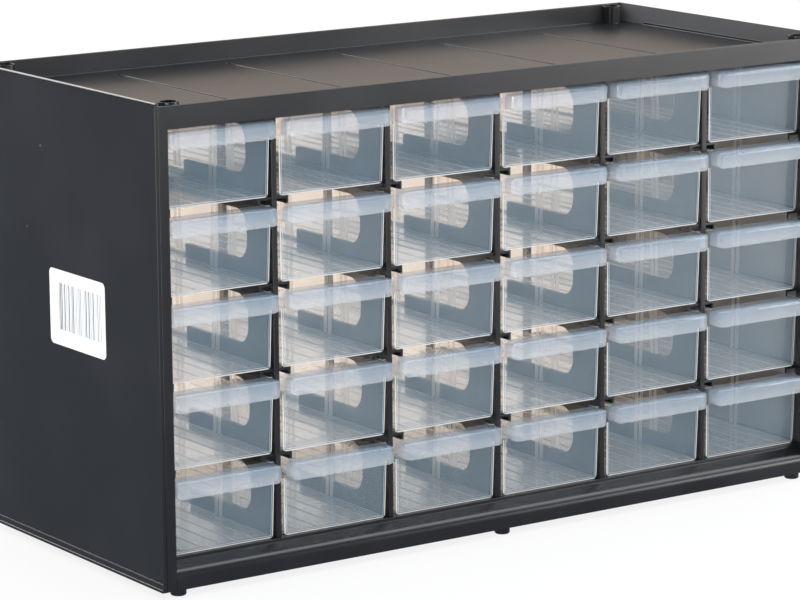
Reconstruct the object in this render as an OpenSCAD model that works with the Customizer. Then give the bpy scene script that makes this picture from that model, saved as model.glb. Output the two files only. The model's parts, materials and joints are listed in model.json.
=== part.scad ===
// Parts bin cabinet: a moulded case with a tray top, plug-in partitions and a grid of clear drawers.
// Millimetres. X runs along the width, the drawers open towards -Y, Z points up.
// The origin lies under the middle of the case, at the level of the feet.

/* [Grid] */
// Number of drawer columns
columns = 6; // [2:1:6]
// Number of drawer rows
rows = 5; // [2:1:5]
// Distance from one column to the next
col_pitch = 59.3; // [52:0.1:70]
// Distance from one row to the next
row_pitch = 37.8; // [34:0.1:48]

/* [Case] */
// Space behind the closed drawers, up to the back of the case
rear_room = 9; // [8.5:0.5:30]
// Outside of the case to the edge of the first column
edge_w = 4.6; // [4:0.1:8]
// Height of the drawer shelf above the underside of the case
base_h = 12.9; // [11:0.1:20]
// Free height between the top drawers and the tray
head_gap = 2.4; // [1.6:0.1:6]
// Depth of the tray below its front rim
tray_depth = 7.4; // [5:0.1:14]
// Rise of the side and rear rims above the front rim
rim_rise = 1.6; // [0.5:0.1:4]
// Wall of the front frame and the rims
frame_t = 2; // [1.6:0.1:2.6]
// Thickness of the tray floor and the drawer shelf
plate_t = 2; // [1.6:0.1:3]
// Thickness of a side panel
side_t = 1.5; // [1.3:0.1:2]
// Width of a front post, from the outside of the case
post_w = 6.4; // [5.8:0.1:6.6]

/* [Feet and stacking sockets] */
// Height of a foot
foot_h = 3.5; // [2:0.1:8]
// Diameter of a foot
foot_d = 7; // [6:0.1:7.2]
// Radial play of a foot in a stacking socket
socket_play = 0.25; // [0.1:0.05:0.6]
// Wall of a stacking socket
socket_wall = 0.8; // [0.8:0.05:2]
// Centre of a corner foot from the side of the case
foot_inset_x = 10.4; // [10.4:0.1:20]

/* [Partitions and runners] */
// Thickness of a partition
part_t = 2.6; // [2:0.1:3]
// Partition front behind the plane of the drawer fronts
part_lead = 0.4; // [0.2:0.1:1.4]
// Height of a runner
runner_h = 3.7; // [3:0.1:5]
// Reach of a runner from the edge of its column
runner_reach = 7.9; // [7:0.1:10]
// Depth of the solid front of a partition, up to the window
web_d = 20; // [16:0.5:30]
// Height of the window sill above the runner
sill_h = 6.8; // [4:0.1:10]
// Length of the raised window sill
sill_l = 52; // [40:0.5:60]
// Top edge of a window below the runner above it
lintel_h = 5; // [3:0.1:8]
// Corner radius at the front of a window
window_r = 8.5; // [4:0.1:9]

/* [Drawers] */
// Length of a drawer without its grip
drawer_l = 137.5; // [120:0.5:200]
// Play beside a drawer at its rim
side_play = 0.95; // [0.6:0.05:1.5]
// Taper of a drawer side from rim to floor
draft = 0.8; // [0.5:0.1:3]
// Lean of a drawer front from rim to floor
front_lean = 1; // [0.3:0.1:2]
// Wall of a drawer
wall = 1.2; // [0.8:0.1:1.4]
// Outer radius along the bottom edges of a drawer
bottom_r = 1.6; // [1.5:0.1:2.5]
// Setback of the drawer fronts behind the front of the case
setback = 8; // [7.6:0.1:12]
// Forward reach of the grip
grip_reach = 7.5; // [6:0.1:7.5]
// Height of the grip
grip_h = 8.1; // [7:0.1:12]
// Plan radius of the grip's ends
grip_r = 3; // [2.5:0.1:5]
// Rise of a drawer's front above its rim
front_rise = 0.6; // [0.4:0.1:1.4]
// Gap between a closed drawer's front and the runners that stop it
stop_gap = 0.3; // [0.2:0.05:0.6]
// Play between a drawer and its runners, above and below
run_play = 0.1; // [0.05:0.05:0.3]
// Width of the slot for a divider
divider_slot = 2.4; // [1.5:0.1:3]
// Height of the ridges on a drawer floor
ridge_h = 0.4; // [0.2:0.1:0.8]

/* [Wall mounting] */
// Distance between the two keyholes
keyhole_span = 240; // [60:1:280]
// Diameter of a keyhole's round end
keyhole_d = 8; // [6:0.1:10]
// Width of a keyhole's neck
keyhole_neck = 4.2; // [3:0.1:5]

/* [Hidden] */
// Plain fits and details of the mouldings
fit = 0.1;            // play between case mouldings
tongue_play = 0.2;    // play of a partition tongue in its slot
tongue_t = 1.4;       // thickness of a partition tongue
tongue_rise = 0.3;    // rise of an upper tongue above the tray floor
tongue_short = 9;     // a tongue ends this much further from the rear sockets
tab_l = 4;            // short tab behind each upper tongue
tab_gap = 4;
socket_bite = 0.6;    // depth to which a socket merges with the wall beside it
boss_taper = 0.8;     // a foot's boss is this much thinner in radius
field_depth = 0.35;   // recess of a side panel's outer field
field_edge = 1.5;     // bead left standing at the front and the back of the field
field_top = 2.2;      // bead left standing above the field
field_r = 2.5;
rim_r = 1.2;          // radius along the top edge of a side panel
plinth_step = 0.45;   // each of the two steps at the foot of a side panel
plinth_low = 1.3;     // height of the lower step
plinth_high = 3.7;    // height of the upper step
runner_t = 1.3;       // wall of a runner
flange_h = 6;         // side flanges under the tray and in front of the rear frame
stop_rib = 1.6;       // rib under the tray that stops the top drawers
upstand_h = 1.2;      // low lip along the sides of the tray floor
upstand_t = 1;
nose_h = 5.2;         // height of the flat face of the base, below its rounded nose
nose_r = 4.5;
nose_end = 115;       // angle at which the nose runs out into a slope
riser_y = 7;          // setback of the shelf edge behind the face of the base
rib_t = 1.6;          // ribs under the base
rear_bar = 22;        // height of the bar with the keyholes
rear_post = 10;       // width of a rear upright
rear_flange = 6;      // depth of the flanges of the rear frame
clip_l = 12;          // length of a snap clip on a side panel
clip_h = 2.4;
clip_reach = 0.6;     // reach of a clip beyond the flange it enters
arc_n = 3;            // flats in a small round edge
arc_fine = 8;         // flats in a larger one
eps = 0.01;

case_w = columns * col_pitch + 2 * edge_w;
case_d = setback + drawer_l + rear_room;
y0 = -case_d / 2;                                    // front of the case
y1 = case_d / 2;                                     // back of the case
drawer_h = row_pitch - runner_h - 2 * run_play;      // rim height of a drawer
shelf_z = foot_h + base_h;
tray_under = row_z(1) + drawer_h + run_play + head_gap;
tray_z = tray_under + plate_t;                       // floor of the tray
rim_z = tray_z + tray_depth;                         // front rim
top_z = rim_z + rim_rise;                            // side and rear rims
part_y = y0 + setback + wall + stop_gap;             // front edge of the runners
part_front = y0 + setback + part_lead;               // front edge of the partitions
part_back = y1 - frame_t - 3;
runner_back = y0 + setback + drawer_l;
inner_x = case_w / 2 - side_t;                       // inner face of a side panel
socket_r = foot_d / 2 + socket_play;
socket_x = case_w / 2 - foot_inset_x;
socket_y = case_d / 2 - frame_t - socket_r - socket_wall + socket_bite;
tongue_y = -socket_y + socket_r + socket_wall + 2;   // front of a partition tongue
tongue_end = -tongue_y - tongue_short;
tab_y = tongue_end + tab_gap;
band_z = tray_under - 0.7;                           // lower edge of the front band
stop_w = col_pitch - part_t - 2 * fit;
tray_clip_z = tray_under - flange_h / 2;
base_clip_z = foot_h + base_h / 2;
clips_y = [-case_d * 0.3, 0, case_d * 0.3];

// Underside of the drawers in row r, counted from the top
function row_z(r) = foot_h + base_h + (rows - r) * row_pitch;
// Middle of column c, counted from the left
function col_x(c) = (c - (columns + 1) / 2) * col_pitch;
// Middle of partition i, counted from the left
function wall_x(i) = (i - columns / 2) * col_pitch;
// Points of an arc round [x, y] from angle a to angle b
function arc(x, y, r, a, b, n = arc_n) = [
    for (i = [0:n]) let (t = a + (b - a) * i / n) [x + r * cos(t), y + r * sin(t)]
];

// Extrudes an outline drawn in Y and Z along X
module along_x(x, l) translate([x, 0, 0]) rotate([90, 0, 90]) linear_extrude(l) children();
// Extrudes an outline drawn in X and Z along Y
module along_y(y, l) translate([0, y + l, 0]) rotate([90, 0, 0]) linear_extrude(l) children();
// A block from its lowest to its highest corner
module block(a, b) translate(a) cube(b - a);
// The part on the right and its mirror image on the left
module both_sides() {
    children();
    mirror([1, 0, 0]) children();
}

// ---- Case ----

// A front post: a channel with its open side to the rear
module post() {
    x_in = case_w / 2 - post_w;
    x_out = inner_x - fit;
    depth = setback + wall;
    translate([0, 0, foot_h]) linear_extrude(tray_under - foot_h + eps) polygon([
        [x_in, y0], [x_out, y0], [x_out, y0 + depth], [x_out - rib_t / 2, y0 + depth],
        [x_out - rib_t / 2, y0 + frame_t], [x_in + rib_t, y0 + frame_t],
        [x_in + rib_t, y0 + depth], [x_in, y0 + depth]
    ]);
}

// A stacking socket in a corner of the tray
module socket(x, y) {
    translate([x, y, tray_z - eps]) cylinder(h = top_z - 0.6 - tray_z, r = socket_r + socket_wall, $fn = 48);
}

// Front frame, tray floor and rear rim are one moulding
module front_frame_and_tray() color("#2a2c30") {
    x_out = inner_x - fit;
    difference() {
        union() {
            both_sides() post();
            // front band with its top edge rounded
            along_x(-x_out, 2 * x_out) polygon(concat(
                [[y0, band_z], [y0 + frame_t, band_z], [y0 + frame_t, rim_z]],
                arc(y0 + 0.6, rim_z - 0.6, 0.6, 90, 180)));
            // floor
            block([-x_out, y0 + eps, tray_under], [x_out, y1 - eps, tray_z]);
            // rear rim with its outer edge rounded
            along_x(-x_out, 2 * x_out) polygon(concat(
                [[y1, tray_under], [y1 - frame_t, tray_under], [y1 - frame_t, top_z]],
                arc(y1 - 0.6, top_z - 0.6, 0.6, 90, 0)));
            // flange under each side of the floor
            both_sides() block([x_out - rib_t, part_y, tray_under - flange_h],
                [x_out, y1 - frame_t - fit, tray_z - eps]);
            // ribs that stop the fronts of the top drawers
            for (c = [1:columns]) translate([col_x(c), 0, 0])
                block([-stop_w / 2, part_y, tray_under - head_gap + 2 * run_play],
                    [stop_w / 2, part_y + stop_rib, tray_z - eps]);
            // low lip along the side panels
            both_sides() block([x_out - upstand_t, tongue_y, tray_z - eps],
                [x_out, tongue_end, tray_z + upstand_h]);
            for (x = [-socket_x, socket_x], y = [-socket_y, socket_y]) socket(x, y);
        }
        // stacking sockets, blind at the tray floor
        for (x = [-socket_x, socket_x], y = [-socket_y, socket_y])
            translate([x, y, tray_z]) cylinder(h = top_z, r = socket_r, $fn = 48);
        // slots for the partition tongues
        for (i = [1:columns - 1]) {
            w = tongue_t / 2 + tongue_play;
            block([wall_x(i) - w, tongue_y - tongue_play, tray_under - 1],
                [wall_x(i) + w, tongue_end + tongue_play, tray_z + 1]);
            block([wall_x(i) - w, tab_y - tongue_play, tray_under - 1],
                [wall_x(i) + w, tab_y + tab_l + tongue_play, tray_z + 1]);
        }
        // slots for the clips of the side panels
        both_sides() clip_row(tongue_play, tray_clip_z);
    }
}

// A foot with its slimmer boss, up into the shelf or, along the front, into the nose
module foot(x, y) {
    lead = 0.5;
    boss_h = y < 0 ? nose_h + nose_r * sin(nose_end) : base_h - plate_t / 2;
    translate([x, y, 0]) cylinder(h = lead, d1 = foot_d - 2 * lead, d2 = foot_d, $fn = 48);
    translate([x, y, lead]) cylinder(h = foot_h - lead, d = foot_d, $fn = 48);
    translate([x, y, foot_h - eps])
        cylinder(h = boss_h, d = foot_d - 2 * boss_taper, $fn = 48);
}

// Section of the base's front, drawn in Y and Z: flat face, rounded nose, slope and shelf edge
module base_front_section() {
    c = [y0 + nose_r, foot_h + nose_h];
    rise = -1 / tan(nose_end);                       // rise of the slope behind the nose
    outer = arc(c.x, c.y, nose_r, 180, nose_end, arc_fine);
    inner = arc(c.x, c.y, nose_r - frame_t, nose_end, 180, arc_fine);
    y_edge = y0 + riser_y;
    z_edge = outer[arc_fine].y + rise * (y_edge - outer[arc_fine].x);
    z_under = inner[0].y + rise * (y_edge + plate_t - inner[0].x);
    polygon(concat([[y0, foot_h]], outer, [[y_edge, z_edge], [y_edge, shelf_z], [y_edge + plate_t, shelf_z],
        [y_edge + plate_t, z_under]], inner, [[y0 + frame_t, foot_h]]));
}

// Base: shelf for the lowest drawers, nosed front, side flanges, ribs and feet
module base() color("#2a2c30") {
    x_in = case_w / 2 - post_w - fit;
    x_out = inner_x - fit;
    y_side = y0 + setback + wall + fit;
    y_back = y1 - frame_t - fit;
    difference() {
        union() {
            along_x(-x_in, 2 * x_in) base_front_section();
            block([-x_in, y0 + riser_y + eps, shelf_z - plate_t], [x_in, y_side + eps, shelf_z]);
            block([-x_out, y_side, shelf_z - plate_t], [x_out, y_back, shelf_z]);
            both_sides() block([x_out - rib_t, y_side, foot_h], [x_out, y_back, shelf_z]);
            block([-x_out, y_back - rib_t, foot_h], [x_out, y_back, shelf_z]);
            // ribs under the partitions and along the middle
            for (i = [1:columns - 1])
                tongue_ribs(wall_x(i), y0 + riser_y + 1, y_back - 1);
            block([-x_out + 1, -rib_t / 2, foot_h + 2], [x_out - 1, rib_t / 2, shelf_z - 1]);
            for (x = [-socket_x, 0, socket_x], y = [-socket_y, socket_y]) foot(x, y);
        }
        for (i = [1:columns - 1]) {
            w = tongue_t / 2 + tongue_play;
            block([wall_x(i) - w, tongue_y - tongue_play, shelf_z - plate_t - 1],
                [wall_x(i) + w, tongue_end + tongue_play, shelf_z + 1]);
        }
        both_sides() clip_row(tongue_play, base_clip_z);
    }
}

// A pair of ribs that guide a partition tongue from below
module tongue_ribs(x, ya, yb) {
    w = tongue_t / 2 + tongue_play;
    for (s = [-1, 1]) translate([x + s * (w + rib_t / 2), 0, 0])
        block([-rib_t / 2, ya, foot_h + 2], [rib_t / 2, yb, shelf_z - 1]);
}

// Snap clips of a side panel at height z, or with play > 0 the slots that they enter
module clip_row(play, z) {
    for (y = clips_y)
        block([inner_x - fit - rib_t - clip_reach - play, y - clip_l / 2 - play, z - clip_h / 2 - play],
            [inner_x + eps, y + clip_l / 2 + play, z + clip_h / 2 + play]);
}

// Clips and slots of the rear frame, along the height
module clip_column(play) {
    y = y1 - frame_t - rear_flange / 2 - clip_h / 2;
    for (f = [0.2, 0.75]) {
        z = shelf_z + f * (tray_under - shelf_z);
        block([inner_x - fit - rib_t - clip_reach - play, y - play, z - play],
            [inner_x + eps, y + clip_h + play, z + clip_l + play]);
    }
}

// Runner section beside a partition or a side panel, from x = 0 to x = w, its top at z = 0
module runner_section(w) {
    polygon([[-eps, 0], [w, 0], [w, -runner_h], [w - runner_t, -runner_h], [w - runner_t, -runner_t],
        [-eps, -runner_t]]);
}

// One runner: a shelf with a lip turned down along its free edge
module runner(x, w, z) translate([x, 0, z]) along_y(part_y, runner_back - part_y) runner_section(w);

// The right side panel; the left one is its mirror image
module side_panel() {
    x2 = case_w / 2;
    field_z = foot_h + plinth_high;
    difference() {
        intersection() {
            // outline across the width: plinth steps below, rounded rim above
            along_y(y0, case_d) polygon(concat([
                [inner_x, foot_h], [x2 + 2 * plinth_step, foot_h], [x2 + 2 * plinth_step, foot_h + plinth_low],
                [x2 + plinth_step, foot_h + plinth_low], [x2 + plinth_step, field_z], [x2, field_z]],
                arc(x2 - rim_r, top_z - rim_r, rim_r, 0, 90), [[inner_x, top_z]]));
            // outline from above: small radii at the front and rear edges
            linear_extrude(top_z + 1) polygon(concat(
                arc(x2 + 2 * plinth_step - 0.9, y0 + 0.9, 0.9, -90, 0),
                arc(x2 + 2 * plinth_step - 0.9, y1 - 0.9, 0.9, 0, 90), [[inner_x, y1], [inner_x, y0]]));
        }
        // recessed field with rounded upper corners
        y_a = y0 + field_edge;
        y_b = y1 - field_edge;
        z_b = top_z - field_top;
        along_x(x2 - field_depth, 1) polygon(concat([[y_a, field_z], [y_b, field_z]],
            arc(y_b - field_r, z_b - field_r, field_r, 0, 90),
            arc(y_a + field_r, z_b - field_r, field_r, 90, 180)));
    }
    translate([inner_x + eps, 0, 0]) mirror([1, 0, 0])
        for (r = [1:rows - 1]) runner(0, runner_reach + edge_w - side_t, row_z(r));
    clip_row(0, base_clip_z);
    clip_row(0, tray_clip_z);
    clip_column(0);
}

module side_panel_right() color("#2a2c30") side_panel();
module side_panel_left() color("#2a2c30") mirror([1, 0, 0]) side_panel();

// A keyhole, drawn in X and Z: round end below, narrow neck above
module keyhole() {
    circle(d = keyhole_d, $fn = 40);
    translate([-keyhole_neck / 2, 0]) square([keyhole_neck, keyhole_d]);
    translate([0, keyhole_d]) circle(d = keyhole_neck, $fn = 40);
}

// Rear frame: an open ring that ties the panels together and hangs on two screws
module rear_frame() color("#2a2c30") {
    x_out = inner_x - fit;
    z1 = tray_under - fit;
    along_y(y1 - frame_t, frame_t) difference() {
        translate([-x_out, foot_h]) square([2 * x_out, z1 - foot_h]);
        translate([-x_out + rear_post, shelf_z])
            square([2 * (x_out - rear_post), z1 - rear_bar - shelf_z]);
        for (s = [-1, 1]) translate([s * keyhole_span / 2, z1 - rear_bar / 2 - keyhole_d / 2]) keyhole();
    }
    // flanges that the clips of the side panels enter
    both_sides() difference() {
        block([x_out - rib_t, y1 - frame_t - rear_flange, shelf_z + 1],
            [x_out, y1 - frame_t + eps, tray_under - flange_h - 1]);
        clip_column(tongue_play);
    }
}

// ---- Partitions ----

// Window between two runners, drawn in Y and Z from the runner's top edge at z = 0
module window() {
    ya = part_y + web_d;
    yb = ya + sill_l;
    yc = part_back - 4;
    zt = row_pitch - runner_h - lintel_h;
    polygon(concat(
        arc(ya + window_r, sill_h + window_r, window_r, 180, 270, arc_fine),
        [[yb, sill_h], [yb, 0], [yc, 0], [yc, zt]],
        arc(ya + window_r, zt - window_r, window_r, 90, 180, arc_fine)));
}

// Partition i: windowed plate with runners on both faces and tongues above and below
module partition(i) color("#2a2c30") translate([wall_x(i), 0, 0]) {
    along_x(-part_t / 2, part_t) difference() {
        translate([part_front, shelf_z]) square([part_back - part_front, tray_under - shelf_z]);
        for (r = [1:rows]) translate([0, row_z(r)]) window();
    }
    both_sides() for (r = [1:rows - 1]) runner(part_t / 2, runner_reach - part_t / 2, row_z(r));
    block([-tongue_t / 2, tongue_y, tray_under - eps], [tongue_t / 2, tongue_end, tray_z + tongue_rise]);
    block([-tongue_t / 2, tab_y, tray_under - eps], [tongue_t / 2, tab_y + tab_l, tray_z - tongue_rise]);
    block([-tongue_t / 2, tongue_y, shelf_z - plate_t], [tongue_t / 2, tongue_end, shelf_z + eps]);
}

// ---- Drawers ----

// Tub outline in X and Z: width w at the floor, sides leaning out by lean up to height h
function tub(w, lean, h, r) = let (
    a = atan(lean / h), cx = w / 2 - r * (1 - sin(a)) / cos(a)
) concat([[-w / 2 - lean, h]], arc(-cx, r, r, 180 + a, 270), arc(cx, r, r, 270, 360 - a), [[w / 2 + lean, h]]);

// Room behind a leaning front, drawn in Y and Z: the front stands at y at the rim and leans back below
module behind_front(y) {
    y_foot = y + front_lean * (drawer_h + 1) / drawer_h;
    along_x(-col_pitch, 2 * col_pitch) polygon([[y, drawer_h + 2], [y, drawer_h], [y_foot, -1],
        [y + drawer_l, -1], [y + drawer_l, drawer_h + 2]]);
}

// Block of the grip: rounded in plan, in the front view and along its top front edge
module grip_block(w, reach, h, r_plan, r_front, r_top) {
    intersection() {
        translate([0, 0, -h]) linear_extrude(h) polygon(concat([[-w / 2, 1]],
            arc(-w / 2 + r_plan, -reach + r_plan, r_plan, 180, 270),
            arc(w / 2 - r_plan, -reach + r_plan, r_plan, 270, 360), [[w / 2, 1]]));
        along_y(-reach, reach + 1) polygon(concat(
            arc(-w / 2 + r_front, -h + r_front, r_front, 180, 270),
            arc(w / 2 - r_front, -h + r_front, r_front, 270, 360),
            arc(w / 2 - r_front, -r_front, r_front, 0, 90),
            arc(-w / 2 + r_front, -r_front, r_front, 90, 180)));
        along_x(-w / 2, w) polygon(concat([[1, -h], [1, 0]],
            arc(-reach + r_top, -r_top, r_top, 90, 180), [[-reach, -h]]));
    }
}

// Drawer body in its own place: front face at y = 0, underside at z = 0
module drawer_body() {
    w_top = col_pitch - part_t - 2 * side_play;
    w_floor = w_top - 2 * draft;
    w_slot = divider_slot / 2;
    front_h = drawer_h + front_rise;
    difference() {
        union() {
            intersection() {
                along_y(0, drawer_l) polygon(tub(w_floor, draft, drawer_h, bottom_r));
                behind_front(0);
            }
            // the front rises above the rim, so that the runners stop it
            along_y(0, wall) polygon([[-w_top / 2, drawer_h - eps], [w_top / 2, drawer_h - eps],
                [w_top / 2, drawer_h], [w_top / 2 - front_rise, front_h],
                [-w_top / 2 + front_rise, front_h], [-w_top / 2, drawer_h]]);
            // grip, hollow and open below
            translate([0, 0, front_h]) difference() {
                grip_block(w_top, grip_reach, grip_h, grip_r, 3, 2.5);
                translate([0, 0, -wall]) difference() {
                    grip_block(w_top - 2 * wall, grip_reach - wall, grip_h + 3, grip_r - wall, 1.6, 1.5);
                    block([-w_top, 0, -grip_h - 4], [w_top, 2, 2]);
                }
            }
        }
        // inside, down to the floor
        intersection() {
            translate([0, 0, wall]) along_y(wall, drawer_l - 2 * wall) polygon(
                tub(w_floor - 2 * wall, draft, drawer_h, bottom_r - wall / 2));
            behind_front(wall);
        }
    }
    // ribs beside the divider slots, a third and two thirds of the way back
    x_rib = w_floor / 2 + draft * 0.9;
    for (f = [1, 2], s = [-1, 1]) both_sides()
        along_y(f * drawer_l / 3 - 2.6 + s * (w_slot + wall / 2) - wall / 2, wall) polygon([
            [w_floor / 2 - 2.2 * wall, wall - eps], [w_floor / 2 - wall / 2, wall - eps],
            [x_rib - wall / 2, drawer_h - 3], [x_rib - 1.6 * wall, drawer_h - 4]]);
    // ridges along the floor
    for (f = [0.14, 0.33, 0.51, 0.66, 0.82]) translate([(f - 0.5) * w_floor, 0, 0])
        block([-0.4, wall - eps, wall - eps], [0.4, drawer_l - wall + eps, wall + ridge_h]);
}

module drawer(r, c) color([0.82, 0.87, 0.92, 0.6])
    translate([col_x(c), y0 + setback, row_z(r) + run_play]) drawer_body();

front_frame_and_tray();
base();
side_panel_left();
side_panel_right();
rear_frame();
for (i = [1:columns - 1])
    partition(i);
for (r = [1:rows], c = [1:columns])
    drawer(r, c);
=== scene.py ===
import json
import math
import random

import bmesh
import bpy
from mathutils import Matrix, Vector

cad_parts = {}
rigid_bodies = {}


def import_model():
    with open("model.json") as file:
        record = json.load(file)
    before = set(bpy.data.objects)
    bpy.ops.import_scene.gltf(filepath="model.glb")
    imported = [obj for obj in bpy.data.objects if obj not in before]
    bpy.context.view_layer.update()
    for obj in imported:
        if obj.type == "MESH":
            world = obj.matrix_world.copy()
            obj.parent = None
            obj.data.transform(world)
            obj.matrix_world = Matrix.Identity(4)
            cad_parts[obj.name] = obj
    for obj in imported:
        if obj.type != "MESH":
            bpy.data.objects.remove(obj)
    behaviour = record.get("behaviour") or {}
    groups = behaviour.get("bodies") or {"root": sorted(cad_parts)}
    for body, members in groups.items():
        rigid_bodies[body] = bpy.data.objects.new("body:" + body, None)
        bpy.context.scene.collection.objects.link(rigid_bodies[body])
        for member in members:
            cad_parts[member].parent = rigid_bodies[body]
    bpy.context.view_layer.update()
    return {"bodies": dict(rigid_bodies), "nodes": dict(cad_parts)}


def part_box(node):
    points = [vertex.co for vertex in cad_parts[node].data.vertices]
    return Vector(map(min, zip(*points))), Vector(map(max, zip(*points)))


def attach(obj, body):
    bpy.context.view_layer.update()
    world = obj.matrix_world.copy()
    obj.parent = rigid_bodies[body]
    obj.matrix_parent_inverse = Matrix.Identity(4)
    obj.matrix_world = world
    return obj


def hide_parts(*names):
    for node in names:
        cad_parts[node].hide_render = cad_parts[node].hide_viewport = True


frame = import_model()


# ---- Studio: a white table and backdrop under four soft lights ----
# Table and sky are pale and matt. They look white to the camera, and like a warm grey backdrop through clear
# plastic. The gloss of the case sees a darker studio with a warm wall at the back, and on a shaded table one
# white sheet behind and to the right of the cabinet and another far to the front left.
SKY_LIGHT = (0.96, 0.98, 1.0)
SKY_LIGHT_STRENGTH = 1.35
WHITE = (1, 1, 1)
BACKDROP = (0.80, 0.71, 0.65)
STUDIO_DARK = (0.13, 0.14, 0.16)
STUDIO_WALL = (0.60, 0.52, 0.45)
WALL_DIRECTION = (0.61, 0.79, 0.0)
WALL_FROM, WALL_TO = 0.45, 0.85
TABLE_SIZE = 9.0
TABLE_PALE = (0.75, 0.75, 0.75)
TABLE_GLOW = 0.85
SHEET_ACROSS = (1.0, 0.45, 0.0)
SHEET_FROM, SHEET_TO = 0.08, 0.36
LEFT_ACROSS = (-0.81, -0.59, 0.0)
LEFT_FROM, LEFT_TO = 0.34, 0.46
SHEET_BRIGHT = (2.0, 1.95, 1.9)
SHEET_SHADE = (0.24, 0.26, 0.30)
CLEAR_FACES_CROSSED = 64

scene = bpy.context.scene
scene.view_settings.view_transform = "Standard"
scene.cycles.transparent_max_bounces = CLEAR_FACES_CROSSED


def feed(tree, socket, value):
    """Links socket to the output of another node, or sets it to a number or a colour."""
    if isinstance(value, bpy.types.NodeSocket):
        tree.links.new(value, socket)
    else:
        socket.default_value = (*value, 1) if socket.type == "RGBA" else value


def add_node(tree, kind, **values):
    """A node of the given kind; values that name an input feed it, others set a property."""
    node = tree.nodes.new(kind)
    for key, value in values.items():
        if key in node.inputs:
            feed(tree, node.inputs[key], value)
        else:
            setattr(node, key, value)
    return node


def new_material(name):
    """A node material whose tree holds only its output."""
    mat = bpy.data.materials.new(name)
    mat.use_nodes = True
    mat.node_tree.nodes.clear()
    return mat, mat.node_tree, add_node(mat.node_tree, "ShaderNodeOutputMaterial")


def math_node(tree, operation, *values, clamp=False):
    """The output of a maths node; its values are numbers or the outputs of other nodes."""
    node = add_node(tree, "ShaderNodeMath", operation=operation, use_clamp=clamp)
    for socket, value in zip(node.inputs, values):
        feed(tree, socket, value)
    return node.outputs[0]


def mix_shaders(tree, share, first, second):
    """The first shader where share is 0, the second where it is 1."""
    node = add_node(tree, "ShaderNodeMixShader")
    for socket, value in zip(node.inputs, (share, first, second)):
        feed(tree, socket, value)
    return node.outputs[0]


def mix_colours(tree, share, first, second):
    """The first colour where share is 0, the second where it is 1."""
    node = add_node(tree, "ShaderNodeMix", data_type="RGBA")
    for i, value in ((0, share), (6, first), (7, second)):
        feed(tree, node.inputs[i], value)
    return node.outputs[2]


def map_range(tree, value, start=(0.0, 1.0), goal=(0.0, 1.0), curve="LINEAR"):
    """value moved from the range start to the range goal and kept within it."""
    node = add_node(tree, "ShaderNodeMapRange", interpolation_type=curve)
    for name, limit in zip(("Value", "From Min", "From Max", "To Min", "To Max"), (value, *start, *goal)):
        feed(tree, node.inputs[name], limit)
    return node.outputs[0]


def share_along(tree, place, direction, start, end):
    """0 where place lies before start along direction, 1 where it lies beyond end, smooth between."""
    along = add_node(tree, "ShaderNodeVectorMath", operation="DOT_PRODUCT")
    feed(tree, along.inputs[0], place)
    feed(tree, along.inputs[1], direction)
    return map_range(tree, along.outputs["Value"], (start, end), curve="SMOOTHSTEP")


def case_gloss(tree, path):
    """1 for a reflected ray that has crossed no clear plastic, 0 for any other ray."""
    uncrossed = math_node(tree, "LESS_THAN", path.outputs["Transparent Depth"], 0.5)
    return math_node(tree, "MULTIPLY", path.outputs["Is Glossy Ray"], uncrossed)


def seen_colour(tree, path):
    """White for the camera's own view, the warm backdrop for a view through clear plastic."""
    crossed = math_node(tree, "GREATER_THAN", path.outputs["Transparent Depth"], 0.5)
    return mix_colours(tree, crossed, WHITE, BACKDROP)


world = bpy.data.worlds.new("studio")
scene.world = world
world.use_nodes = True
tree = world.node_tree
tree.nodes.clear()
path = add_node(tree, "ShaderNodeLightPath")
look = add_node(tree, "ShaderNodeTexCoord")
dark = add_node(tree, "ShaderNodeBackground", Color=STUDIO_DARK)
wall = add_node(tree, "ShaderNodeBackground", Color=STUDIO_WALL)
light = add_node(tree, "ShaderNodeBackground", Color=SKY_LIGHT, Strength=SKY_LIGHT_STRENGTH)
white = add_node(tree, "ShaderNodeBackground", Color=seen_colour(tree, path))
wall_share = share_along(tree, look.outputs["Generated"], WALL_DIRECTION, WALL_FROM, WALL_TO)
studio = mix_shaders(tree, wall_share, dark.outputs[0], wall.outputs[0])
lit = mix_shaders(tree, case_gloss(tree, path), light.outputs[0], studio)
sky = mix_shaders(tree, path.outputs["Is Camera Ray"], lit, white.outputs[0])
add_node(tree, "ShaderNodeOutputWorld", Surface=sky)

table_mat, tree, out = new_material("table_white")
path = add_node(tree, "ShaderNodeLightPath")
spot = add_node(tree, "ShaderNodeTexCoord").outputs["Object"]
matt = add_node(tree, "ShaderNodeBsdfDiffuse", Color=TABLE_PALE)
glow = add_node(tree, "ShaderNodeEmission", Color=seen_colour(tree, path))
glow_share = math_node(tree, "MULTIPLY", path.outputs["Is Camera Ray"], TABLE_GLOW)
plain = mix_shaders(tree, glow_share, matt.outputs[0], glow.outputs[0])
sheet_share = math_node(tree, "MAXIMUM", share_along(tree, spot, SHEET_ACROSS, SHEET_FROM, SHEET_TO),
                        share_along(tree, spot, LEFT_ACROSS, LEFT_FROM, LEFT_TO))
sheet = add_node(tree, "ShaderNodeEmission", Color=mix_colours(tree, sheet_share, SHEET_SHADE, SHEET_BRIGHT))
feed(tree, out.inputs["Surface"], mix_shaders(tree, case_gloss(tree, path), plain, sheet.outputs[0]))
table_mat.cycles.emission_sampling = "NONE"
table_mesh = bpy.data.meshes.new("table")
half = TABLE_SIZE / 2
corners = [(-half, -half, 0), (half, -half, 0), (half, half, 0), (-half, half, 0)]
table_mesh.from_pydata(corners, [], [(0, 1, 2, 3)])
table_mesh.materials.append(table_mat)
table = bpy.data.objects.new("table", table_mesh)
scene.collection.objects.link(table)

LIGHTS_AIM = (0, 0, 0.1)
COOL_LIGHT = (0.97, 0.98, 1.0)
WARM_LIGHT = (1.0, 0.97, 0.94)
FRONT_LIGHT = (1.0, 0.99, 0.98)


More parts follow.
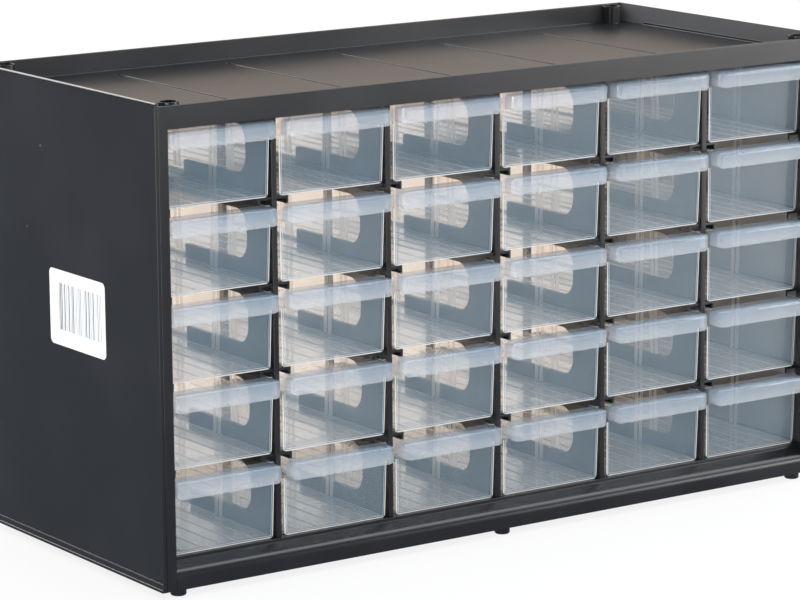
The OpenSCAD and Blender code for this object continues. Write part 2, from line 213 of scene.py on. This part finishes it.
def soft_light(name, place, size, watts, colour):
    """A square soft box at place that points at the middle of the cabinet."""
    lamp = bpy.data.lights.new(name, "AREA")
    lamp.shape = "SQUARE"
    lamp.size = size
    lamp.energy = watts
    lamp.color = colour
    ob = bpy.data.objects.new(name, lamp)
    ob.location = place
    ob.rotation_euler = (Vector(LIGHTS_AIM) - Vector(place)).to_track_quat("-Z", "Y").to_euler()
    ob.visible_camera = False
    scene.collection.objects.link(ob)


soft_light("key_box", place=(1.2, -0.3, 1.6), size=1.6, watts=16, colour=COOL_LIGHT)
soft_light("rear_box", place=(-0.2, 1.5, 1.15), size=1.0, watts=12, colour=WARM_LIGHT)
soft_light("front_box", place=(1.75, -1.55, 0.45), size=0.8, watts=11, colour=FRONT_LIGHT)
soft_light("left_box", place=(-1.2, -0.85, 0.12), size=0.35, watts=5, colour=COOL_LIGHT)

# The camera stands to the left of the cabinet and a little above it, with a long lens.
CAMERA_PLACE = (-0.9650, -1.4008, 0.4439)
CAMERA_YAW = 34.38
CAMERA_PITCH = -11.536
CAMERA_ROLL = -0.47
CAMERA_LENS = 167.57
CAMERA_SENSOR = 36
camera = bpy.data.objects.new("camera", bpy.data.cameras.new("camera"))
camera.location = CAMERA_PLACE
camera.rotation_euler = (Matrix.Rotation(math.radians(-CAMERA_YAW), 3, "Z")
                         @ Matrix.Rotation(math.radians(90 + CAMERA_PITCH), 3, "X")
                         @ Matrix.Rotation(math.radians(CAMERA_ROLL), 3, "Z")).to_euler()
camera.data.sensor_width = CAMERA_SENSOR
camera.data.lens = CAMERA_LENS
scene.collection.objects.link(camera)
scene.camera = camera


# ---- Case: front frame with tray, base, side panels, rear frame and partitions ----
# Ten mouldings of near-black polystyrene that snap together. The skin is glossy with a faint orange peel and
# softly rounded edges, and it carries faint cloudy wear and a little dust. The inner faces of the side panels
# and
# the rear rim carry a painted sheen: grey mixed into their colour as a painted highlight.
MM = 0.001
CASE_BLACK = (0.008, 0.009, 0.011)
CASE_WORN = (0.018, 0.019, 0.022)
CASE_ROUGH = (0.20, 0.30)
CASE_IOR = 1.55
WEAR_SCALE, WEAR_DETAIL = 18, 6
WEAR_FROM, WEAR_TO = 0.45, 0.85
PEEL_SCALE, PEEL_DETAIL = 500, 3
PEEL_STRENGTH, PEEL_HEIGHT = 0.02, 0.4 * MM
DUST_SCALE = 60
DUST_SIZE = 0.022
DUST_SHARE = 0.25
DUST_GREY = (0.30, 0.29, 0.27)
# painted sheen: grey mixed into the colour of inner faces as a painted highlight
PAINTED_SHEEN_GREY = (1.0, 1.0, 1.03)
PAINTED_SHEEN_SIDE, PAINTED_SHEEN_REAR = 0.13, 0.035
EDGE_ROUND = 0.25 * MM
ROUND_STEPS = 2
SHARP_ANGLE = 35
FLAT_ANGLE = 0.6
WELDED = 0.001 * MM
SQUARELY = 0.9


def colour_ramp(tree, value, stops):
    """The colour at value between stops, which are pairs of a position and a colour, lowest first."""
    node = add_node(tree, "ShaderNodeValToRGB", Fac=value)
    elements = node.color_ramp.elements
    for element, (position, colour) in zip(elements, (stops[0], stops[-1])):
        element.position = position
        element.color = (*colour, 1)
    for position, colour in stops[1:-1]:
        elements.new(position).color = (*colour, 1)
    return node.outputs[0]


case_mat, tree, out = new_material("case_polystyrene")
spot = add_node(tree, "ShaderNodeTexCoord").outputs["Object"]
cloud = add_node(tree, "ShaderNodeTexNoise", Vector=spot, Scale=WEAR_SCALE, Detail=WEAR_DETAIL).outputs["Fac"]
worn = colour_ramp(tree, cloud, ((WEAR_FROM, CASE_BLACK), (WEAR_TO, CASE_WORN)))
# painted sheen: a painted highlight of grey on the inner faces of the side panels and the rear rim
satin = add_node(tree, "ShaderNodeAttribute", attribute_name="satin").outputs["Fac"]
faces = mix_colours(tree, satin, worn, PAINTED_SHEEN_GREY)
speck = add_node(tree, "ShaderNodeTexVoronoi", Vector=spot, Scale=DUST_SCALE)
chance = add_node(tree, "ShaderNodeSeparateColor", Color=speck.outputs["Color"]).outputs[0]
dusty = math_node(tree, "MULTIPLY", math_node(tree, "LESS_THAN", speck.outputs["Distance"], DUST_SIZE),
                  math_node(tree, "LESS_THAN", chance, DUST_SHARE))
peel = add_node(tree, "ShaderNodeTexNoise", Vector=spot, Scale=PEEL_SCALE, Detail=PEEL_DETAIL).outputs["Fac"]
relief = add_node(tree, "ShaderNodeBump", Strength=PEEL_STRENGTH, Distance=PEEL_HEIGHT, Height=peel)
case = add_node(tree, "ShaderNodeBsdfPrincipled", IOR=CASE_IOR, Normal=relief.outputs[0],
                Roughness=map_range(tree, cloud, goal=CASE_ROUGH))
feed(tree, case.inputs["Base Color"], mix_colours(tree, dusty, faces, DUST_GREY))
feed(tree, out.inputs["Surface"], case.outputs[0])


def whole_faces(node):
    """A bmesh of a CAD node with its triangles joined into whole flat faces."""
    bm = bmesh.new()
    bm.from_mesh(frame["nodes"][node].data)
    bmesh.ops.remove_doubles(bm, verts=bm.verts, dist=WELDED)
    bmesh.ops.dissolve_limit(bm, angle_limit=math.radians(FLAT_ANGLE), verts=bm.verts, edges=bm.edges)
    return bm


def settled(piece):
    """The mesh of piece as its modifiers make it, without the modifiers and under the piece's name."""
    done = bpy.data.meshes.new_from_object(piece.evaluated_get(bpy.context.evaluated_depsgraph_get()))
    piece.modifiers.clear()
    piece.data = done
    done.name = piece.name
    return done


def moulded(bm, name, round_by):
    """An object from bm with its edges rounded as in a mould; flat faces stay flat in the light."""
    low, high = ([pick(v.co[i] for v in bm.verts) for i in range(3)] for pick in (min, max))
    mesh = bpy.data.meshes.new(name)
    bm.to_mesh(mesh)
    bm.free()
    for face in mesh.polygons:
        face.use_smooth = True
    piece = bpy.data.objects.new(name, mesh)
    scene.collection.objects.link(piece)
    bevel = piece.modifiers.new("mould_radius", "BEVEL")
    bevel.width = round_by
    bevel.segments = ROUND_STEPS
    bevel.limit_method = "ANGLE"
    bevel.angle_limit = math.radians(SHARP_ANGLE)
    bevel.use_clamp_overlap = False
    flat = piece.modifiers.new("flat_faces", "WEIGHTED_NORMAL")
    flat.weight = 100
    flat.keep_sharp = True
    for point in settled(piece).vertices:
        point.co = [min(max(v, a), b) for v, a, b in zip(point.co, low, high)]
    return piece


def painted_sheen_share(node, face):
    """The share of painted sheen on a face, grey painted in as a highlight: inner faces of the side panels
    and the rear rim have some.
    """
    if node.startswith("side_panel") and face.normal.x * face.center.x < -SQUARELY * abs(face.center.x):
        return PAINTED_SHEEN_SIDE
    if node.startswith("front_frame") and face.normal.y < -SQUARELY and face.center.y > 0:
        return PAINTED_SHEEN_REAR
    return 0.0


case_nodes = [n for n in frame["nodes"] if not n.startswith("drawer_")]
for node in case_nodes:
    piece = moulded(whole_faces(node), node + "_moulding", EDGE_ROUND)
    # each face's share of painted sheen, a grey painted highlight
    shares = [painted_sheen_share(node, face) for face in piece.data.polygons]
    piece.data.attributes.new("satin", "FLOAT", "FACE").data.foreach_set("value", shares)
    piece.data.materials.append(case_mat)
    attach(piece, "cabinet")
    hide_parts(node)


# ---- Sticker on the left side panel ----
# A plain white paper sticker with rounded corners and a printed block of upright bars, pressed into the
# recessed field of the panel.
STICKER_Y = (-31.5 * MM, 17 * MM)
STICKER_Z = (97.3 * MM, 131.2 * MM)
STICKER_CORNER = 2.5 * MM
CORNER_STEPS = 6
STICKER_THICK = 0.12 * MM
PANEL_FACE = 182.5 * MM
FIELD_RECESS = 0.35 * MM
BARS_Y = (-28 * MM, 9.5 * MM)
BARS_Z = (104.5 * MM, 125.5 * MM)
BAR_COUNT = 30
BAR_SHARES = (0.12, 0.2, 0.2, 0.3, 0.5)
BARS_SEED = 7
BARS_THICK = 0.02 * MM
PAPER = (0.87, 0.88, 0.89)
PAPER_ROUGH, PAPER_FIBRE, PAPER_DETAIL, PAPER_SHADE = 0.45, 900, 4, 0.93
INK = (0.03, 0.03, 0.035)
INK_ROUGH, INK_GRAIN, INK_DETAIL, INK_SHADE = 0.4, 1500, 3, 2.2


def grained_material(name, colour, roughness, grain, detail, shade):
    """A material whose fine grain varies between colour and colour times shade."""
    mat, tree, out = new_material(name)
    spot = add_node(tree, "ShaderNodeTexCoord").outputs["Object"]
    noise = add_node(tree, "ShaderNodeTexNoise", Vector=spot, Scale=grain, Detail=detail).outputs["Fac"]
    shaded = tuple(shade * v for v in colour)
    skin = add_node(tree, "ShaderNodeBsdfPrincipled", Roughness=roughness)
    feed(tree, skin.inputs["Base Color"], mix_colours(tree, noise, colour, shaded))
    feed(tree, out.inputs["Surface"], skin.outputs[0])
    return mat


def slab(bm, outline, x_back, thick):
    """A thin slab in bm: outline holds (y, z) points seen from -X, its back lies at x_back."""
    back = [bm.verts.new((x_back, y, z)) for y, z in outline]
    front = [bm.verts.new((x_back - thick, y, z)) for y, z in outline]
    bm.faces.new(back)
    bm.faces.new(front[::-1])
    for i, v in enumerate(front):
        j = (i + 1) % len(front)
        bm.faces.new((v, front[j], back[j], back[i]))


def finish_slabs(bm, name, mat):
    """Makes bm an object of the given material that rides on the cabinet."""
    bmesh.ops.recalc_face_normals(bm, faces=bm.faces)
    mesh = bpy.data.meshes.new(name)
    bm.to_mesh(mesh)
    bm.free()
    mesh.materials.append(mat)
    piece = bpy.data.objects.new(name, mesh)
    scene.collection.objects.link(piece)
    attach(piece, "cabinet")


field_x = -(PANEL_FACE - FIELD_RECESS)
outline = []
for y, z, start in ((STICKER_Y[1], STICKER_Z[1], 0), (STICKER_Y[0], STICKER_Z[1], 90),
                    (STICKER_Y[0], STICKER_Z[0], 180), (STICKER_Y[1], STICKER_Z[0], 270)):
    cy = y - STICKER_CORNER * math.copysign(1, y - sum(STICKER_Y) / 2)
    cz = z - STICKER_CORNER * math.copysign(1, z - sum(STICKER_Z) / 2)
    for step in range(CORNER_STEPS + 1):
        turn = math.radians(start + 90 * step / CORNER_STEPS)
        outline.append((cy + STICKER_CORNER * math.cos(turn), cz + STICKER_CORNER * math.sin(turn)))
bm = bmesh.new()
slab(bm, outline, field_x, STICKER_THICK)
paper_mat = grained_material("sticker_paper", PAPER, PAPER_ROUGH, PAPER_FIBRE, PAPER_DETAIL, PAPER_SHADE)
finish_slabs(bm, "sticker", paper_mat)

bm = bmesh.new()
draw = random.Random(BARS_SEED)
y = BARS_Y[0]
step = (BARS_Y[1] - BARS_Y[0]) / BAR_COUNT
for i in range(BAR_COUNT):
    wide = step * draw.choice(BAR_SHARES)
    slab(bm, [(y, BARS_Z[0]), (y, BARS_Z[1]), (y + wide, BARS_Z[1]), (y + wide, BARS_Z[0])],
         field_x - STICKER_THICK, BARS_THICK)
    y += step
ink_mat = grained_material("sticker_ink", INK, INK_ROUGH, INK_GRAIN, INK_DETAIL, INK_SHADE)
finish_slabs(bm, "sticker_bars", ink_mat)


# ---- Drawers: thirty clear tubs, each moulded in one piece with its hook grip ----
# Natural polypropylene, clear with a milky haze, that slides on the runners of the partitions. Light runs
# along the walls, so that their edges glow white; this glow is painted as thicker, whiter haze on the front
# face where the walls and the floor meet it, and on the rim tops. The thin walls pass a warm light and
# scatter a cool one. The grip carries painted shade, its tint darker towards its top.
HAZE_COOL = (0.52, 0.77, 0.97)
HAZE_WHITE = (0.98, 0.95, 0.92)
# the grip's tint runs from the lip colour up to a darker top colour, painted shade
GRIP_LIP = (0.71, 0.77, 0.84)
GRIP_TOP_PAINTED_SHADE = (0.42, 0.55, 0.70)
PASS_WARM = (1.0, 0.986, 0.971)
FLOW_SCALE, FLOW_DETAIL = 55, 4
FLOW_RANGE = (0.85, 1.15)
SCATTER_THROUGH = 0.4
GLOSS_ROUGH = 0.09
GLOSS_OUTSIDE = 0.035
GLOSS_INSIDE = 0.006
GLANCING_POWER = 5
HAZE_FRONT = 0.21
HAZE_WALL = 0.02
HAZE_FLOOR = 0.30
HAZE_RIDGE = 0.30
HAZE_GRIP = 0.30
# rim tops: a painted glow of thick white haze where light leaves the top edge of the walls
HAZE_RIM_PAINTED_GLOW = 0.55
HAZE_RIB = 0.38
WALL = 1.2 * MM
DRAFT = 0.8 * MM
LEAN = 1.0 * MM
RIM = 33.9 * MM
RIDGES_HIGH = 0.6 * MM
RIBS_END = 130 * MM
GRIP_REACH = 7.5 * MM
GLOW_TOP = 26 * MM
LIP_LOW = GLOW_TOP + 2 * MM
DRAWER_ROUND = 0.18 * MM
# Light leaves through the front where the walls behind it end; it is painted there as a glow of thicker,
# whiter
# haze: lines along the inner and the outer edge of each wall, a dimmer band between them. Positions run from
# just inside the wall to its outer face.
GLOW_INSIDE = 0.3 * MM
GLOW_LINE = 0.95
GLOW_BAND = 0.25
GLOW_STOPS = ((0.08, 0.0), (0.20, 0.8 * GLOW_LINE), (0.34, GLOW_BAND), (0.62, GLOW_BAND),
              (0.72, GLOW_LINE), (0.86, GLOW_LINE))
# How near a point lies to a face of the drawer to count as part of it
NEAR = 0.1 * MM
NEAR_FRONT = 0.25 * MM
NEAR_RIM = 0.4 * MM
GRIP_STARTS = 0.15 * MM
GRIP_TINT_STARTS = 0.3 * MM
UPWARDS = 0.7
SIDEWAYS = 0.5

# One drawer is finished at its own place, and a node tree then copies it to each of the others.
FIRST = "drawer_r1_c1"
first_low, first_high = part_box(FIRST)
middle_x = (first_low.x + first_high.x) / 2
front_y = first_low.y + GRIP_REACH
floor_z = first_low.z
half_floor = (first_high.x - first_low.x) / 2 - DRAFT

clear_mat, tree, out = new_material("drawer_polypropylene")
spot = add_node(tree, "ShaderNodeTexCoord").outputs["Object"]
flow = add_node(tree, "ShaderNodeTexNoise", Vector=spot, Scale=FLOW_SCALE, Detail=FLOW_DETAIL).outputs["Fac"]
milk = add_node(tree, "ShaderNodeAttribute", attribute_name="milk").outputs["Fac"]
own = add_node(tree, "ShaderNodeAttribute", attribute_name="own").outputs["Vector"]
x, y, z = add_node(tree, "ShaderNodeSeparateXYZ", Vector=own).outputs
inner = math_node(tree, "MULTIPLY_ADD", z, DRAFT / RIM, half_floor - WALL)
beside = math_node(tree, "SUBTRACT", math_node(tree, "ABSOLUTE", x), inner)
below = math_node(tree, "SUBTRACT", WALL, z)
# painted glow: the haze grows thick and white on the front face where the walls and the floor end
edge = map_range(tree, math_node(tree, "MAXIMUM", beside, below), (-GLOW_INSIDE, WALL))
glow = colour_ramp(tree, edge, [(position, (value, value, value)) for position, value in GLOW_STOPS])
lean_y = math_node(tree, "MULTIPLY_ADD", z, LEAN / RIM, -LEAN)
off_front = math_node(tree, "ABSOLUTE", math_node(tree, "ADD", y, lean_y))
on_front = math_node(tree, "LESS_THAN", off_front, NEAR_FRONT)
on_grip = math_node(tree, "LESS_THAN", y, -GRIP_TINT_STARTS)
under_grip = math_node(tree, "LESS_THAN", z, GLOW_TOP)
# painted glow of the front face, below the grip
front_glow = math_node(tree, "MULTIPLY", glow, math_node(tree, "MULTIPLY", on_front, under_grip))
hazy = math_node(tree, "MULTIPLY", map_range(tree, flow, goal=FLOW_RANGE), milk)
amount = math_node(tree, "MAXIMUM", hazy, front_glow, clamp=True)
whiteness = math_node(tree, "ADD", math_node(tree, "SUBTRACT", 1.0, on_front), front_glow, clamp=True)
# painted shade: the grip darkens from its lip up to its top
grip_shade = mix_colours(tree, map_range(tree, z, (LIP_LOW, RIM)), GRIP_LIP, GRIP_TOP_PAINTED_SHADE)
pale = mix_colours(tree, on_grip, HAZE_WHITE, grip_shade)
tint = mix_colours(tree, whiteness, HAZE_COOL, pale)
passing = add_node(tree, "ShaderNodeBsdfTransparent", Color=PASS_WARM)
haze = add_node(tree, "ShaderNodeBsdfDiffuse", Color=tint)
through = add_node(tree, "ShaderNodeBsdfTranslucent", Color=tint)
scattered = mix_shaders(tree, SCATTER_THROUGH, haze.outputs[0], through.outputs[0])
body_mix = mix_shaders(tree, amount, passing.outputs[0], scattered)
outside = math_node(tree, "MAXIMUM", on_front, on_grip)
straight_on = math_node(tree, "MAXIMUM", math_node(tree, "MULTIPLY", outside, GLOSS_OUTSIDE), GLOSS_INSIDE)
tilt = add_node(tree, "ShaderNodeLayerWeight", Blend=0.5).outputs["Facing"]
mirror = map_range(tree, math_node(tree, "POWER", tilt, GLANCING_POWER), goal=(straight_on, 1.0))
gloss = add_node(tree, "ShaderNodeBsdfGlossy", Roughness=GLOSS_ROUGH)
feed(tree, out.inputs["Surface"], mix_shaders(tree, mirror, body_mix, gloss.outputs[0]))

master = moulded(whole_faces(FIRST), "drawer_master", DRAWER_ROUND)
origin = Vector((middle_x, front_y, floor_z))


def haze_share(face):
    """The share of haze on a face of the drawer, by where it lies and which way it looks; the rim tops take a
    painted glow.
    """
    x, y, z = face.center - origin
    n = face.normal
    above_floor = z > WALL + NEAR
    between_walls = abs(x) < half_floor - WALL + DRAFT * z / RIM - NEAR
    if y < -GRIP_STARTS:
        return HAZE_GRIP
    if n.y < -SQUARELY and y < LEAN + NEAR:
        return HAZE_FRONT
    if abs(n.z) > SQUARELY and z < WALL + NEAR:
        return HAZE_FLOOR
    if above_floor and z < WALL + RIDGES_HIGH and abs(x) < half_floor - 3 * WALL and abs(n.y) < SIDEWAYS:
        return HAZE_RIDGE
    # painted glow on the rim tops
    if n.z > UPWARDS and z > RIM - NEAR_RIM:
        return HAZE_RIM_PAINTED_GLOW
    if between_walls and above_floor and 2 * WALL < y < RIBS_END and abs(n.y) > SIDEWAYS:
        return HAZE_RIB
    return HAZE_WALL


shares = [haze_share(face) for face in master.data.polygons]
master.data.attributes.new("milk", "FLOAT", "FACE").data.foreach_set("value", shares)
places = [v for point in master.data.vertices for v in point.co - origin]
master.data.attributes.new("own", "FLOAT_VECTOR", "POINT").data.foreach_set("vector", places)

tree = bpy.data.node_groups.new("drawer_copies", "GeometryNodeTree")
tree.interface.new_socket("Geometry", in_out="INPUT", socket_type="NodeSocketGeometry")
for name, kind in ("Drawer", "Object"), ("Step", "Vector"), ("Finish", "Material"):
    tree.interface.new_socket(name, in_out="INPUT", socket_type="NodeSocket" + kind)
tree.interface.new_socket("Geometry", in_out="OUTPUT", socket_type="NodeSocketGeometry")
given = add_node(tree, "NodeGroupInput").outputs
source = add_node(tree, "GeometryNodeObjectInfo", transform_space="RELATIVE", Object=given["Drawer"])
seat = add_node(tree, "GeometryNodeMeshLine", mode="OFFSET", Count=1)
feed(tree, seat.inputs["Start Location"], given["Step"])
copies = add_node(tree, "GeometryNodeInstanceOnPoints", Points=seat.outputs["Mesh"],
                  Instance=source.outputs["Geometry"])
real = add_node(tree, "GeometryNodeRealizeInstances", Geometry=copies.outputs["Instances"])
coat = add_node(tree, "GeometryNodeSetMaterial", Geometry=real.outputs["Geometry"], Material=given["Finish"])
add_node(tree, "NodeGroupOutput", Geometry=coat.outputs["Geometry"])
sockets = {item.name: item.identifier for item in tree.interface.items_tree if item.in_out == "INPUT"}

for body in frame["bodies"]:
    if not body.startswith("drawer_"):
        continue
    name = body.replace("drawer", "clear_drawer")
    piece = bpy.data.objects.new(name, bpy.data.meshes.new(name))
    scene.collection.objects.link(piece)
    maker = piece.modifiers.new("place", "NODES")
    maker.node_group = tree
    maker[sockets["Drawer"]] = master
    maker[sockets["Step"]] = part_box(body)[0] - first_low
    maker[sockets["Finish"]] = clear_mat
    settled(piece)
    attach(piece, body)
    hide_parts(body)
bpy.data.objects.remove(master)
